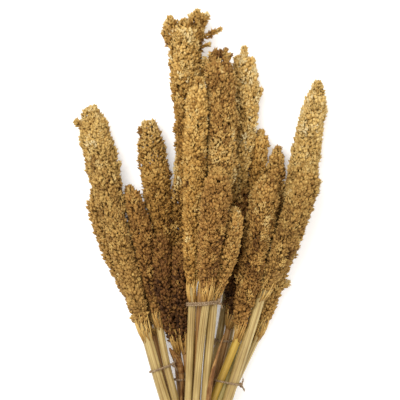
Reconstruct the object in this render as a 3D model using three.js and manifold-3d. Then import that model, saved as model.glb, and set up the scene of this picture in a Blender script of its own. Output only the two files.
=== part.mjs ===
// A bundle of dried sorghum, a grass with long dense seed heads, lying on a flat surface.
// Five small bunches of stalks are each tied with twine, and their stems meet in one tie near the cut ends.
// Millimetres: +Y runs from the cut ends to the tips, +X across the bundle, +Z up from the surface at z = 0.
import * as THREE from "three";
import { mergeVertices } from "three/addons/utils/BufferGeometryUtils.js";
import Module from "manifold-3d";

const wasm = await Module();
wasm.setup();

// ---- Driving dimensions ----
const bundleLength = 618; // from the lowest cut end to the highest tip
const bundleWidth = 300; // across the heads
const headRadius = 20; // a usual seed head at its fullest
const stemRadius = 4; // a usual stem
const twineRadius = 1.2;
const knotRadius = 2.9;
const tailLength = 9; // a twine end past its knot
const wrapPitch = 3.6; // between two turns of one tie
const cutStagger = 11; // how unevenly the stems are cut
const sheathLength = 82; // a dry leaf sheath
const sheathThickness = 0.8;

// ---- Clearances ----
const touchGap = 0.4; // between pieces that touch
const stemGap = 1.2; // between two stems side by side
const crossingGap = 0.8; // added between stems of two bunches, which cross at a slant
const headGap = 3; // between two seed heads
const tipRoom = 0.1; // past a head's tip, as a share of its length
const slantRoom = 1.1; // a slanted stem, cut straight across the bundle, against its radius

// ---- How finely the pieces are made ----
const stationCount = 40; // cross-sections along the bundle where the stems settle
const settlePasses = 500;
const gatherPull = 0.04; // how far the main tie draws the stems in at each pass
const stemSides = 8;
const headSides = 10;
const headRings = 11;
const twineSides = 6;
const wrapStep = 4.5; // along a tie's outline
const axisSamples = 48; // points along a head's or a stem's axis that its neighbours keep clear of

const colours = {
  straw: 0xc2a468,
  pale: 0xc9b37c,
  gold: 0xcf9f50,
  umber: 0x8d6a3a,
  yellow: 0xc9a637,
  green: 0xb3a76a,
  twine: 0x8f7c62,
  sheath: 0x96703e,
};

// ---- The five bunches ----
// Places are [across, along, height]: shares of half the width, of the length and of a usual head's radius.
// A stalk has its stem's seat in the ties in stem pitches, then its head's base, middle and tip.
// "full" is the head's greatest radius against a usual one, and "peak" is how far up the head that is.
const bunches = [
  {
    name: "left",
    main: [-0.16, 1.35],
    tie: [-0.385, 0.31, 1.3],
    slant: 0.34,
    turns: 1,
    knotAt: 0.32,
    stalks: [
      {
        name: "outer",
        seat: [-0.85, 0.1],
        stem: 1.45,
        full: 1.05,
        peak: 0.6,
        base: [-0.425, 0.375, 1.5],
        middle: [-0.675, 0.6, 1.25],
        tip: [-0.88, 0.81, 1.1],
        colour: "pale",
      },
      {
        name: "under",
        seat: [0.05, -0.6],
        stem: 1.05,
        full: 0.76,
        peak: 0.5,
        base: [-0.375, 0.375, 0.65],
        middle: [-0.68, 0.53, 0.7],
        tip: [-0.85, 0.65, 0.7],
        colour: "straw",
      },
      {
        name: "inner",
        seat: [0.85, 0.15],
        stem: 1.05,
        full: 0.88,
        peak: 0.5,
        base: [-0.325, 0.4, 1.3],
        middle: [-0.43, 0.533, 1.35],
        tip: [-0.58, 0.655, 1.2],
        colour: "umber",
      },
    ],
  },
  {
    name: "back_left",
    main: [-0.1, 0.6],
    tie: [-0.185, 0.285, 0.62],
    slant: 0.05,
    turns: 1,
    knotAt: 1.2,
    stalks: [
      {
        name: "tall",
        seat: [0.5, -0.43],
        stem: 1.05,
        full: 1.05,
        peak: 0.8,
        base: [-0.1, 0.525, 0.8],
        middle: [-0.08, 0.765, 1.1],
        tip: [-0.14, 1, 1.15],
        colour: "gold",
      },
      {
        name: "leaning",
        seat: [-0.5, -0.43],
        stem: 0.95,
        full: 0.9,
        peak: 0.65,
        base: [-0.21, 0.4, 0.8],
        middle: [-0.315, 0.6, 0.95],
        tip: [-0.405, 0.785, 0.95],
        colour: "gold",
      },
      {
        name: "short",
        seat: [0.5, 0.43],
        stem: 0.85,
        full: 0.72,
        peak: 0.45,
        base: [-0.18, 0.35, 1.1],
        middle: [-0.165, 0.446, 1.8],
        tip: [-0.14, 0.548, 2],
        colour: "umber",
      },
      {
        name: "stub",
        seat: [-0.5, 0.43],
        stem: 0.8,
        full: 0.66,
        peak: 0.45,
        base: [-0.26, 0.35, 1.05],
        middle: [-0.275, 0.455, 1.75],
        tip: [-0.31, 0.565, 1.9],
        colour: "umber",
      },
    ],
  },
  {
    name: "middle",
    main: [-0.08, 1.9],
    tie: [0.035, 0.436, 3],
    slant: 0.1,
    turns: 2,
    knotAt: 0.15,
    stalks: [
      {
        name: "dark",
        seat: [0, -0.25],
        stem: 1.1,
        full: 1.07,
        peak: 0.55,
        base: [0, 0.45, 3],
        middle: [0.14, 0.697, 2.95],
        tip: [0.155, 0.918, 2.2],
        colour: "umber",
      },
      {
        name: "golden",
        seat: [-0.9, 0],
        stem: 1.1,
        full: 0.84,
        peak: 0.55,
        base: [-0.045, 0.45, 3],
        middle: [-0.02, 0.668, 3.25],
        tip: [0.005, 0.862, 2.95],
        colour: "gold",
      },
      {
        name: "front",
        seat: [-0.4, 0.85],
        stem: 1,
        full: 0.92,
        peak: 0.5,
        base: [0.055, 0.45, 3.55],
        middle: [0.1, 0.58, 4.2],
        tip: [0.15, 0.69, 4.3],
        colour: "straw",
      },
      {
        name: "side",
        seat: [0.95, 0.1],
        stem: 1.25,
        full: 0.7,
        peak: 0.5,
        base: [0.11, 0.45, 3.1],
        middle: [0.215, 0.545, 3.75],
        tip: [0.265, 0.615, 3.8],
        colour: "straw",
      },
    ],
  },
  {
    name: "back_right",
    main: [0.03, 0.6],
    tie: [0.24, 0.36, 0.62],
    slant: -0.05,
    turns: 1,
    knotAt: 2.2,
    stalks: [
      {
        name: "bright",
        seat: [-0.5, -0.43],
        stem: 1,
        full: 0.82,
        peak: 0.6,
        base: [0.265, 0.55, 0.75],
        middle: [0.37, 0.765, 0.9],
        tip: [0.35, 0.925, 0.85],
        colour: "gold",
      },
      {
        name: "loose",
        seat: [0.5, -0.43],
        stem: 0.9,
        full: 0.62,
        peak: 0.6,
        base: [0.35, 0.525, 0.75],
        middle: [0.425, 0.65, 0.8],
        tip: [0.48, 0.765, 0.8],
        colour: "gold",
      },
      {
        name: "deep",
        seat: [0, 0.45],
        stem: 0.9,
        full: 0.74,
        peak: 0.5,
        base: [0.245, 0.4, 1.1],
        middle: [0.32, 0.52, 1.6],
        tip: [0.365, 0.65, 1.6],
        colour: "umber",
      },
    ],
  },
  {
    name: "right",
    main: [0.07, 1.42],
    tie: [0.235, 0.281, 1.4],
    slant: -0.2,
    turns: 1,
    knotAt: 0.25,
    stalks: [
      {
        name: "outer",
        seat: [0.5, -0.85],
        stem: 1,
        full: 0.91,
        peak: 0.55,
        base: [0.47, 0.375, 0.9],
        middle: [0.75, 0.615, 1.1],
        tip: [0.95, 0.86, 1.05],
        colour: "pale",
      },
      {
        name: "front",
        seat: [0.95, 0.1],
        stem: 1.4,
        full: 0.9,
        peak: 0.55,
        base: [0.485, 0.45, 1.9],
        middle: [0.71, 0.575, 2.5],
        tip: [0.885, 0.692, 2.4],
        colour: "straw",
      },
      {
        name: "inner",
        seat: [-0.95, 0],
        stem: 1.1,
        full: 0.92,
        peak: 0.55,
        base: [0.33, 0.375, 1.7],
        middle: [0.42, 0.523, 2.3],
        tip: [0.535, 0.675, 2.3],
        colour: "straw",
        stemColour: "yellow",
      },
      {
        name: "small",
        seat: [0, 0.05],
        stem: 0.95,
        full: 0.56,
        peak: 0.5,
        base: [0.46, 0.5, 1.2],
        middle: [0.56, 0.62, 0.9],
        tip: [0.625, 0.733, 0.75],
        colour: "umber",
        stemColour: "green",
      },
    ],
  },
];

// The tie that gathers the five bunches, and the cut ends below it.
const mainTie = { name: "main", along: 0.135, turns: 3, slant: 0.04, knotAt: 1.35 };

// Dry leaf sheaths: the stalk that each grew on, where its foot is along the bundle, how it turns round the
// stem in radians from +X, how far its tip leans off in stem diameters, and its length against a usual one.
const sheaths = [
  { stalk: "middle_side", foot: 0.243, turn: 0.3, lean: 1.1, long: 1.03 },
  { stalk: "back_right_bright", foot: 0.21, turn: 2.9, lean: 0.9, long: 0.72 },
  { stalk: "back_left_stub", foot: 0.297, turn: 2.6, lean: 0.9, long: 0.38 },
  { stalk: "left_inner", foot: 0.2, turn: -0.1, lean: 0.9, long: 0.68 },
];

const place = ([across, along, height]) =>
  new THREE.Vector3(
    (across * bundleWidth) / 2,
    along * bundleLength,
    height * headRadius,
  );

// ---- Stalks ----
const stalks = bunches.flatMap((bunch) =>
  bunch.stalks.map((stalk) => ({
    ...stalk,
    bunch,
    name: bunch.name + "_" + stalk.name,
    stemRadius: stalk.stem * stemRadius,
    headRadius: stalk.full * headRadius,
    lastStation: Math.round(stalk.base[1] * stationCount),
  })),
);

const stationY = (station) => (station / stationCount) * bundleLength;
const mainStation = mainTie.along * stationCount;
const stemPitch = 2 * stemRadius + stemGap;

// The point of a curve that climbs in y, at height y.
function pointAtY(curve, y) {
  let low = 0;
  let high = 1;
  for (let i = 0; i < 24; i++) {
    const middle = (low + high) / 2;
    if (curve.getPoint(middle).y < y) low = middle;
    else high = middle;
  }
  return curve.getPoint(low);
}

// The route a stem would take if it had the bundle to itself: cut end, main tie, its bunch's tie, head.
function freeRoute(stalk) {
  const { bunch } = stalk;
  const [across, height] = bunch.main;
  const seat = new THREE.Vector3(stalk.seat[0], 0, stalk.seat[1]).multiplyScalar(stemPitch);
  const atMain = place([across, mainTie.along, height]).add(seat);
  const cutEnd = place([across, 0, height]).add(seat);
  const atTie = place(bunch.tie).add(seat);
  return new THREE.CatmullRomCurve3(
    [cutEnd, atMain, atTie, place(stalk.base), place(stalk.middle)],
    false,
    "centripetal",
  );
}

for (const stalk of stalks) {
  const route = freeRoute(stalk);
  stalk.points = [];
  for (let station = 0; station <= stalk.lastStation; station++)
    stalk.points.push(pointAtY(route, stationY(station)));
}

// A stem with a dry sheath on it takes up more room.
const sheathRoom = ({ name }) =>
  sheaths.some(({ stalk }) => stalk === name) ? sheathThickness + touchGap : 0;

// The least distance between two stems' axes at a station. Bunches stay a twine's width apart above the
// main tie.
function spacing(a, b, station) {
  const room = stemGap + sheathRoom(a) + sheathRoom(b);
  const touching = a.stemRadius + b.stemRadius + room;
  if (a.bunch === b.bunch) return touching;
  const above = THREE.MathUtils.smoothstep(station, mainStation + 1, mainStation + 4);
  return touching + crossingGap + above * (4 * twineRadius + 2 * touchGap);
}

function pushApart(a, b, station) {
  const p = a.points[station];
  const q = b.points[station];
  const dx = q.x - p.x;
  const dz = q.z - p.z;
  const apart = Math.hypot(dx, dz);
  const short = spacing(a, b, station) - apart;
  if (short <= 0) return;
  const share = short / (2 * Math.max(apart, 1e-6));
  p.x -= dx * share;
  p.z -= dz * share;
  q.x += dx * share;
  q.z += dz * share;
}

// The main tie draws the stems in to one another at and below it.
function gather(present, station, pull) {
  const held = 1 - THREE.MathUtils.smoothstep(station, mainStation, mainStation + 5);
  const centre = new THREE.Vector3();
  for (const stalk of present) centre.addScaledVector(stalk.points[station], 1 / present.length);
  for (const { points } of present) {
    points[station].x += pull * held * (centre.x - points[station].x);
    points[station].z += pull * held * (centre.z - points[station].z);
  }
}

// Stems push one another aside at every station, and their own stiffness draws each one straight.
function settleStems() {
  for (let pass = 0; pass < settlePasses; pass++) {
    const ease = Math.max(0, 1 - (2 * pass) / settlePasses);
    const stiffness = 0.3 * ease;
    for (const stalk of stalks)
      for (let station = 0; station < stalk.lastStation; station++) {
        const point = stalk.points[station];
        const after = stalk.points[station + 1];
        const before = stalk.points[station - 1] ?? after;
        point.x += stiffness * ((before.x + after.x) / 2 - point.x);
        point.z += stiffness * ((before.z + after.z) / 2 - point.z);
      }
    for (let station = 0; station <= stationCount; station++) {
      const present = stalks.filter((stalk) => stalk.lastStation >= station);
      gather(present, station, gatherPull * ease);
      present.forEach((a, i) =>
        present.slice(i + 1).forEach((b) => pushApart(a, b, station)),
      );
      for (const stalk of present) {
        const lowest = stalk.stemRadius + 2 * twineRadius + 2 * touchGap;
        stalk.points[station].z = Math.max(stalk.points[station].z, lowest);
      }
    }
  }
}

settleStems();

for (const [i, stalk] of stalks.entries()) {
  stalk.points[0].lerp(stalk.points[1], ((cutStagger / stationY(1)) * ((i * 5) % 7)) / 6);
  stalk.stemCurve = new THREE.CatmullRomCurve3(stalk.points, false, "centripetal");
  const foot = stalk.points[stalk.lastStation];
  stalk.axis = new THREE.CatmullRomCurve3(
    [foot.clone(), place(stalk.middle), place(stalk.tip)],
    false,
    "centripetal",
  );
}

// ---- Solids ----
function circleShape(radius, sides) {
  const points = [];
  for (let i = 0; i < sides; i++) {
    const angle = (i / sides) * 2 * Math.PI;
    points.push(new THREE.Vector2(radius * Math.cos(angle), radius * Math.sin(angle)));
  }
  return new THREE.Shape(points);
}

const tube = (curve, radius, sides, steps) =>
  new THREE.ExtrudeGeometry(circleShape(radius, sides), {
    extrudePath: curve,
    steps,
    bevelEnabled: false,
  });

function solidOf(geometry) {
  const plain = geometry.clone();
  plain.deleteAttribute("normal");
  plain.deleteAttribute("uv");
  const merged = mergeVertices(plain, 1e-4);
  return new wasm.Manifold(
    new wasm.Mesh({
      numProp: 3,
      vertProperties: merged.getAttribute("position").array,
      triVerts: new Uint32Array(merged.index.array),
    }),
  );
}

function geometryOf(solid) {
  const { vertProperties, triVerts } = solid.getMesh();
  return new THREE.BufferGeometry()
    .setAttribute("position", new THREE.BufferAttribute(vertProperties, 3))
    .setIndex(new THREE.BufferAttribute(triVerts, 1));
}

const joined = (geometries) =>
  geometryOf(geometries.map(solidOf).reduce((whole, next) => whole.add(next)));

// A closed body through rings of points that run anticlockwise as seen from its far end.
function loft(rings) {
  const sides = rings[0].length;
  const positions = rings.flat().flatMap((p) => [p.x, p.y, p.z]);
  const faces = [];
  for (let ring = 0; ring + 1 < rings.length; ring++)
    for (let i = 0; i < sides; i++) {
      const a = ring * sides + i;
      const b = ring * sides + ((i + 1) % sides);
      faces.push(a, b, a + sides, b, b + sides, a + sides);
    }
  const top = (rings.length - 1) * sides;
  for (let i = 1; i + 1 < sides; i++)
    faces.push(0, i + 1, i, top, top + i, top + i + 1);
  return new THREE.BufferGeometry()
    .setAttribute("position", new THREE.Float32BufferAttribute(positions, 3))
    .setIndex(faces);
}

// ---- Seed heads ----
// A head's radius at share t of its length: slim where it leaves the stem, blunt at the tip.
function headProfile(stalk, t) {
  const slim = (stalk.stemRadius + 1.5) / stalk.headRadius;
  if (t < stalk.peak) {
    const rise = Math.sin((t / stalk.peak) * (Math.PI / 2)) ** 0.8;
    return stalk.headRadius * (slim + (1 - slim) * rise);
  }
  const past = (t - stalk.peak) / (1.02 - stalk.peak);
  return stalk.headRadius * Math.sqrt(1 - past ** 4);
}

for (const stalk of stalks) {
  stalk.headSamples = [];
  stalk.stemSamples = [];
  const length = stalk.axis.getLength();
  for (let i = 0; i <= axisSamples; i++) {
    const t = i / axisSamples;
    stalk.stemSamples.push(stalk.stemCurve.getPoint(t));
    // A head keeps its neighbours clear of a little room past its tip as well.
    const onAxis = Math.min(1, t * (1 + tipRoom));
    const past = (t * (1 + tipRoom) - onAxis) * length;
    const point = stalk.axis.getPoint(onAxis).addScaledVector(stalk.axis.getTangent(onAxis), past);
    stalk.headSamples.push({ point, radius: headProfile(stalk, onAxis) });
  }
}

// How far a head reaches from its axis in one direction before it meets a neighbouring head, a stem or
// the surface.
function headReach(stalk, centre, direction, radius) {
  let reach = radius;
  for (const other of stalks) {
    if (other === stalk) continue;
    for (const sample of other.headSamples) {
      const apart = centre.clone().sub(sample.point);
      const bigger = sample.radius - radius;
      const facing = bigger - apart.dot(direction);
      if (facing <= 0) continue;
      const border = (apart.lengthSq() - bigger ** 2) / (2 * facing);
      reach = Math.min(reach, border - headGap / 2);
    }
    const tieY = other.bunch.tie[1] * bundleLength;
    for (const point of other.stemSamples) {
      const towards = centre.clone().sub(point);
      const distance = towards.length();
      const facing = -towards.dot(direction) / distance;
      if (facing <= 0) continue;
      const atTie = Math.abs(point.y - tieY) < 8 * twineRadius;
      const girth = other.stemRadius + touchGap + (atTie ? 2 * twineRadius + 2 * touchGap : 0);
      reach = Math.min(reach, (distance - girth - headGap / 2) / facing);
    }
  }
  if (direction.z < 0) reach = Math.min(reach, centre.z / -direction.z);
  return Math.max(reach, stalk.stemRadius / 2);
}

function headGeometry(stalk) {
  const up = new THREE.Vector3(0, 0, 1);
  const rings = [];
  for (let ring = 0; ring <= headRings; ring++) {
    const t = 1 - (1 - ring / headRings) ** 1.4;
    const centre = stalk.axis.getPoint(t);
    const along = ring > 0 ? stalk.axis.getTangent(t) : stalk.stemCurve.getTangent(1);
    if (ring === 0) centre.addScaledVector(along, touchGap);
    const side = along.clone().cross(up).normalize();
    const rise = side.clone().cross(along);
    const radius = headProfile(stalk, t);
    const points = [];
    for (let i = 0; i < headSides; i++) {
      const angle = -(i / headSides) * 2 * Math.PI;
      const direction = side
        .clone()
        .multiplyScalar(Math.cos(angle))
        .addScaledVector(rise, Math.sin(angle));
      const reach = headReach(stalk, centre, direction, radius);
      points.push(centre.clone().addScaledVector(direction, reach));
    }
    rings.push(points);
  }
  return loft(rings);
}

// ---- Stems ----
const stemGeometry = (stalk) =>
  tube(stalk.stemCurve, stalk.stemRadius, stemSides, Math.ceil(stalk.lastStation / 2));

// ---- Ties ----
// The convex outline, anticlockwise, of points in the plane.
function convexOutline(points) {
  const sorted = [...points].sort((a, b) => a.x - b.x || a.y - b.y);
  const turn = (o, a, b) => (a.x - o.x) * (b.y - o.y) - (a.y - o.y) * (b.x - o.x);
  const half = (list) => {
    const chain = [];
    for (const point of list) {
      while (chain.length > 1 && turn(chain.at(-2), chain.at(-1), point) <= 0) chain.pop();
      chain.push(point);
    }
    return chain.slice(0, -1);
  };
  return [...half(sorted), ...half(sorted.reverse())];
}

// A tie of one or more turns drawn tight round its stems, with a knot and two loose ends.
function tieGeometry({ along, slant, turns, knotAt }, held) {
  const tieY = along * bundleLength;
  const centre = new THREE.Vector2(0, 0);
  for (const stalk of held) {
    const level = pointAtY(stalk.stemCurve, tieY);
    centre.add(new THREE.Vector2(level.x, level.z).divideScalar(held.length));
  }
  const halfWidth = (wrapPitch * (turns - 1)) / 2 + twineRadius;
  const around = [];
  for (const stalk of held)
    for (const side of [-1, 1]) {
      const level = pointAtY(stalk.stemCurve, tieY);
      const y = tieY + slant * (level.x - centre.x) + side * halfWidth;
      const point = pointAtY(stalk.stemCurve, y);
      const radius = slantRoom * stalk.stemRadius + touchGap + twineRadius;
      around.push(...circleShape(radius, 20).getPoints().map((p) => p.add({ x: point.x, y: point.z })));
    }
  const outline = convexOutline(around);
  const offKnot = (p) => Math.cos(Math.atan2(p.y - centre.y, p.x - centre.x) - knotAt);
  const nearest = Math.max(...outline.map(offKnot));
  const start = outline.findIndex((p) => offKnot(p) === nearest);
  const loop = [...outline.slice(start), ...outline.slice(0, start), outline[start]];
  const round = new THREE.CurvePath();
  for (let i = 0; i + 1 < loop.length; i++)
    round.add(new THREE.LineCurve(loop[i], loop[i + 1]));
  const steps = turns * Math.ceil(round.getLength() / wrapStep);
  const hidden = (0.4 * twineRadius) / round.getLength(); // the two ends stop short of each other in the knot
  const route = [];
  for (let i = 0; i <= steps; i++) {
    const turned = THREE.MathUtils.lerp(hidden, turns - hidden, i / steps);
    const p = round.getPointAt(turned % 1);
    const climb = (turned / turns - 0.5) * wrapPitch * (turns - 1);
    route.push(new THREE.Vector3(p.x, tieY + slant * (p.x - centre.x) + climb, p.y));
  }
  const wraps = tube(
    new THREE.CatmullRomCurve3(route, false, "centripetal"),
    twineRadius,
    twineSides,
    steps,
  );
  const outward = new THREE.Vector3(Math.cos(knotAt), 0, Math.sin(knotAt));
  const knotCentre = route[0].clone().add(route.at(-1)).divideScalar(2);
  knotCentre.addScaledVector(outward, knotRadius - twineRadius);
  const knot = new THREE.SphereGeometry(1, 10, 6)
    .scale(knotRadius, knotRadius + ((turns - 1) * wrapPitch) / 2 + twineRadius, knotRadius)
    .translate(...knotCentre);
  const sideways = new THREE.Vector3(-outward.z, 0, outward.x);
  const tails = [1, -1].map((side) => {
    const end = knotCentre
      .clone()
      .addScaledVector(outward, 0.34 * tailLength)
      .addScaledVector(sideways, 0.45 * side * tailLength);
    end.y += side * 0.8 * tailLength;
    const bend = knotCentre.clone().addScaledVector(outward, 0.3 * tailLength);
    bend.y += side * 0.45 * tailLength;
    const curve = new THREE.QuadraticBezierCurve3(knotCentre.clone(), bend, end);
    return tube(curve, twineRadius, twineSides, 4);
  });
  return joined([wraps, knot, ...tails]);
}

// ---- Dry leaf sheaths ----
// A pointed trough that hugs its stem at the foot and leans away from it towards the tip.
function sheathGeometry({ stalk: name, foot, turn, lean, long }) {
  const stalk = stalks.find((one) => one.name === name);
  const length = long * sheathLength;
  const steps = 8;
  const arcSteps = 4;
  const rings = [];
  for (let step = 0; step <= steps; step++) {
    const t = step / steps;
    const centre = pointAtY(stalk.stemCurve, foot * bundleLength + t * length);
    const inner = slantRoom * stalk.stemRadius + touchGap;
    const away = lean * stalk.stemRadius * 2 * t ** 2;
    const spread = 1.1 * (1 - t ** 1.6) + 0.12;
    const ring = [];
    const onArc = (i, radius) => {
      const angle = turn + spread * ((2 * i) / arcSteps - 1);
      return new THREE.Vector3(
        centre.x + radius * Math.cos(angle) + away * Math.cos(turn),
        centre.y,
        centre.z + radius * Math.sin(angle) + away * Math.sin(turn),
      );
    };
    for (let i = 0; i <= arcSteps; i++) ring.push(onArc(i, inner));
    for (let i = arcSteps; i >= 0; i--) ring.push(onArc(i, inner + sheathThickness));
    rings.push(ring);
  }
  return troughLoft(rings);
}

// As loft, with ends that follow a trough's section instead of spanning it.
function troughLoft(rings) {
  const sides = rings[0].length;
  const body = loft(rings);
  const sideFaces = [...body.index.array].slice(0, 6 * sides * (rings.length - 1));
  const top = (rings.length - 1) * sides;
  for (let i = 0; i + 1 < sides / 2; i++) {
    const across = sides - 1 - i;
    sideFaces.push(i, across, i + 1, i + 1, across, across - 1);
    sideFaces.push(top + i, top + i + 1, top + across);
    sideFaces.push(top + i + 1, top + across - 1, top + across);
  }
  return body.setIndex(sideFaces);
}

// ---- The bundle ----
const bundle = new THREE.Group();

function addMesh(name, geometry, colour, roughness) {
  geometry.computeVertexNormals();
  const material = new THREE.MeshStandardMaterial({
    color: colours[colour],
    roughness,
    metalness: 0,
  });
  const mesh = new THREE.Mesh(geometry, material);
  mesh.name = name;
  bundle.add(mesh);
}

for (const stalk of stalks) {
  addMesh("stem_" + stalk.name, stemGeometry(stalk), stalk.stemColour ?? "pale", 0.6);
  addMesh("head_" + stalk.name, headGeometry(stalk), stalk.colour, 0.85);
}

for (const bunch of bunches) {
  const held = stalks.filter((stalk) => stalk.bunch === bunch);
  addMesh("twine_" + bunch.name, tieGeometry({ ...bunch, along: bunch.tie[1] }, held), "twine", 0.9);
}
addMesh("twine_main", tieGeometry(mainTie, stalks), "twine", 0.9);

sheaths.forEach((sheath, i) =>
  addMesh("leaf_sheath_" + (i + 1), sheathGeometry(sheath), "sheath", 0.8),
);

// The origin is under the middle of the bundle, on the surface it lies on.
const box = new THREE.Box3().setFromObject(bundle);
bundle.position.set(-(box.min.x + box.max.x) / 2, -(box.min.y + box.max.y) / 2, -box.min.z);

const part = new THREE.Group();
part.add(bundle);

export default part;
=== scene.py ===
# %% [markdown]
# # A bundle of dried sorghum
# Eighteen stalks of a tall grass lie on a table. Each has a long head crowded with small husked grains.
# Five little bunches are tied with twine, and one more tie near the cut ends holds all of them.
# The measured model comes first, as a fixed frame. Everything made below sits where that frame says.

# %% Load the fixed frame
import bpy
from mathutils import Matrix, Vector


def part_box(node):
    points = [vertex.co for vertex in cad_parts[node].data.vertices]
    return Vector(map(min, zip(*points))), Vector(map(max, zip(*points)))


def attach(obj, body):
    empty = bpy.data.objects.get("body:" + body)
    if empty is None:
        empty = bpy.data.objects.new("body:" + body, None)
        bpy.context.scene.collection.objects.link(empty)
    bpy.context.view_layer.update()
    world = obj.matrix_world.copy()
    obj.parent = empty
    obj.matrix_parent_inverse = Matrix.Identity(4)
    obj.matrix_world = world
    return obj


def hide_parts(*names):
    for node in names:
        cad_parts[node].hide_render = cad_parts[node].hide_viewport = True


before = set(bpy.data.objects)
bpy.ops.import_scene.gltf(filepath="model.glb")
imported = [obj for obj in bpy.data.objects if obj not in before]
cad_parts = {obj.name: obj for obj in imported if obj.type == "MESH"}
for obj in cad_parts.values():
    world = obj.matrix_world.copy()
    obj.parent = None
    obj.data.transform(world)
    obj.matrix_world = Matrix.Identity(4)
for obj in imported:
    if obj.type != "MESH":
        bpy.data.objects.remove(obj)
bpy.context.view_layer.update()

# %% [markdown]
# ## Tools for the whole lesson
# A head holds thousands of grains, so its mesh is made as whole arrays of numbers with numpy.
# One object per grain would be simple to make, but slow to open and to draw.
# `Shape` gathers points, triangles and a place on a colour map for each point, then makes one object.
# Every random choice comes from a generator that is seeded by the piece's own name.

# %% Arrays, seeds and the shape gatherer
import math
import zlib

import bpy
import numpy as np
from mathutils import Vector
from mathutils.bvhtree import BVHTree
from mathutils.geometry import convex_hull_2d

MM = 0.001
GOLDEN_TURN = math.pi * (3 - math.sqrt(5))
LOWEST = 0.2 * MM  # nothing reaches below this, so nothing goes into the table


def seeded(name):
    return np.random.default_rng(zlib.crc32(name.encode()))


def unit(v):
    return v / np.maximum(np.linalg.norm(v, axis=-1, keepdims=True), 1e-12)


def distances(route):
    """How far along a route each of its points is."""
    steps = np.linalg.norm(np.diff(route, axis=0), axis=1)
    return np.concatenate([[0], np.cumsum(steps)])


class Shape:
    """Closed bodies that become one mesh: points, triangles, and a map place (u, v) for each point."""

    def __init__(self):
        self.points, self.faces, self.places, self.count = [], [], [], 0

    def add(self, points, faces, places):
        self.points.append(points)
        self.faces.append(faces + self.count)
        self.places.append(places)
        self.count += len(points)

    def make(self, name, finish, slot, *stands_for):
        points = np.concatenate(self.points)
        faces = np.concatenate(self.faces)
        places = np.concatenate(self.places)
        points[:, 2] = np.maximum(points[:, 2], LOWEST)
        mesh = bpy.data.meshes.new(name)
        mesh.vertices.add(len(points))
        mesh.vertices.foreach_set("co", points.astype(np.float32).ravel())
        mesh.loops.add(faces.size)
        mesh.loops.foreach_set("vertex_index", faces.astype(np.int32).ravel())
        mesh.polygons.add(len(faces))
        mesh.polygons.foreach_set("loop_start", np.arange(0, faces.size, 3, dtype=np.int32))
        mesh.update(calc_edges=True)
        mesh.polygons.foreach_set("use_smooth", np.ones(len(faces), bool))
        uv = mesh.uv_layers.new(name="OFBake")
        uv.data.foreach_set("uv", places[faces.ravel()].astype(np.float32).ravel())
        mesh.materials.append(finish)
        piece = bpy.data.objects.new(name, mesh)
        bpy.context.scene.collection.objects.link(piece)
        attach(piece, "root")
        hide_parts(*stands_for)
        print(name, len(faces), "triangles")


print("one golden turn is", round(math.degrees(GOLDEN_TURN), 1), "degrees")

# %% [markdown]
# ## The table, the light and the camera
# The bundle lies flat and is looked at from straight above, as a florist would see it on a table.
# A long lens keeps its near and far pieces in proportion. The table is a wide pale disc that glows a
# little, which keeps the shadows on it faint. The sky lights the scene with one strength and is seen with
# another, as pale as the far table, so that no hard horizon shows when the camera goes low. A broad lamp
# at the upper left stands for a window, and a weaker one on the other side for the light of the room.

# %% Camera, table and lights
VIEW_WIDTH = 0.48  # metres of table across the picture
VIEW_MIDDLE = (-0.00375, 0.0805)
CAMERA_HEIGHT = 2.6
SENSOR = 36.0
PALE = (0.92, 0.92, 0.915, 1)
TABLE_RADIUS = 40
TABLE_GLOW = 0.3
SKY_LIGHT = 0.82
SKY_SEEN = 1.2

camera = bpy.data.objects.new("camera", bpy.data.cameras.new("camera"))
camera.data.sensor_width = SENSOR
camera.data.lens = SENSOR * CAMERA_HEIGHT / VIEW_WIDTH
camera.location = (*VIEW_MIDDLE, CAMERA_HEIGHT)
bpy.context.scene.collection.objects.link(camera)
bpy.context.scene.camera = camera

bpy.ops.mesh.primitive_circle_add(vertices=96, radius=TABLE_RADIUS, fill_type="NGON")
table = bpy.context.object
table.name = "table"
table_finish = bpy.data.materials.new("pale table")
table_finish.use_nodes = True
table_shader = table_finish.node_tree.nodes["Principled BSDF"]
table_shader.inputs["Base Color"].default_value = PALE
table_shader.inputs["Roughness"].default_value = 0.9
table_shader.inputs["Specular IOR Level"].default_value = 0.1
table_shader.inputs["Emission Color"].default_value = PALE
table_shader.inputs["Emission Strength"].default_value = TABLE_GLOW
table.data.materials.append(table_finish)

sky = bpy.data.worlds.new("sky")
sky.use_nodes = True
light_sky = sky.node_tree.nodes["Background"]
light_sky.inputs["Color"].default_value = (1.0, 0.99, 0.97, 1)
light_sky.inputs["Strength"].default_value = SKY_LIGHT
seen_sky = sky.node_tree.nodes.new("ShaderNodeBackground")
seen_sky.inputs["Color"].default_value = PALE
seen_sky.inputs["Strength"].default_value = SKY_SEEN
rays = sky.node_tree.nodes.new("ShaderNodeLightPath")
either = sky.node_tree.nodes.new("ShaderNodeMixShader")
sky.node_tree.links.new(rays.outputs["Is Camera Ray"], either.inputs[0])
sky.node_tree.links.new(light_sky.outputs[0], either.inputs[1])
sky.node_tree.links.new(seen_sky.outputs[0], either.inputs[2])
sky.node_tree.links.new(either.outputs[0], sky.node_tree.nodes["World Output"].inputs[0])
bpy.context.scene.world = sky
bpy.context.scene.view_settings.view_transform = "Standard"


def soft_light(name, place, size, watts):
    lamp = bpy.data.objects.new(name, bpy.data.lights.new(name, "AREA"))
    lamp.data.size = size
    lamp.data.energy = watts
    lamp.location = place
    towards_heads = Vector((0, 0.05, 0)) - Vector(place)
    lamp.rotation_euler = towards_heads.to_track_quat("-Z", "Y").to_euler()
    bpy.context.scene.collection.objects.link(lamp)


soft_light("window", (-0.8, 0.9, 2.0), 1.5, 44)
soft_light("room", (1.5, -0.6, 1.6), 1.6, 14)
print("lens", round(camera.data.lens), "mm")

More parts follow.
